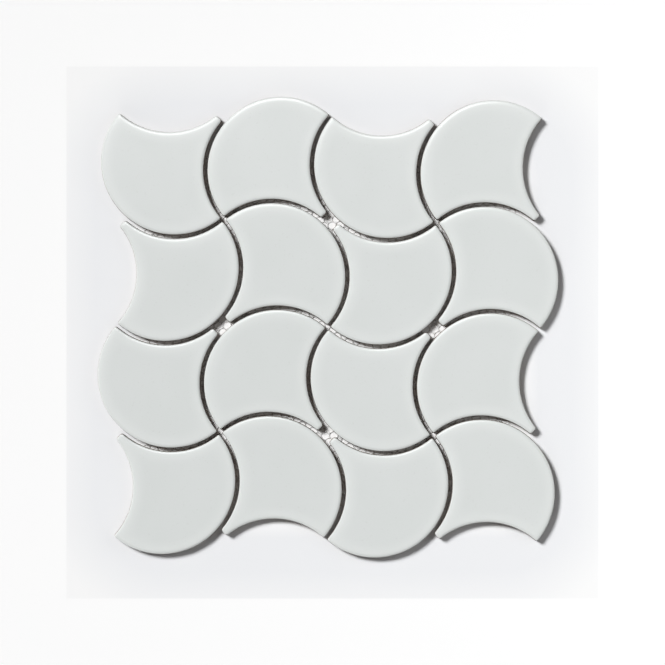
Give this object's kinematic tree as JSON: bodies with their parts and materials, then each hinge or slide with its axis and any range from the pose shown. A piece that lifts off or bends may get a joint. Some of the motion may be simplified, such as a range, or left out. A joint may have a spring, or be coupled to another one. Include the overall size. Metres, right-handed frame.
{
  "type": "wave mosaic wall tile sheet",
  "caption": "Flat wall tile sheet: glazed fan-shaped tiles with a round back, two hollow flanks and a blunt tip, set so that the joints run as waves, glued to an open net.",
  "frame": {"origin": "middle of the net's underside, where the sheet lies on the floor or is bedded on a wall", "axes": "+Z out of the glazed face, +X along a row to the last column, +Y up a column to the first row"},
  "size_m": [0.3006, 0.3006, 0.0064],
  "materials": {
    "glazed_tile": "smooth off-white satin-gloss glaze",
    "net": "white knitted net, open cells"
  },
  "bodies": {
    "root": {"tile_row1_column1": "glazed_tile", "tile_row1_column2": "glazed_tile", "tile_row1_column3": "glazed_tile", "tile_row1_column4": "glazed_tile", "tile_row2_column1": "glazed_tile", "tile_row2_column2": "glazed_tile", "tile_row2_column3": "glazed_tile", "tile_row2_column4": "glazed_tile", "tile_row3_column1": "glazed_tile", "tile_row3_column2": "glazed_tile", "tile_row3_column3": "glazed_tile", "tile_row3_column4": "glazed_tile", "tile_row4_column1": "glazed_tile", "tile_row4_column2": "glazed_tile", "tile_row4_column3": "glazed_tile", "tile_row4_column4": "glazed_tile", "backing_net": "net"}
  },
  "joints": []
}
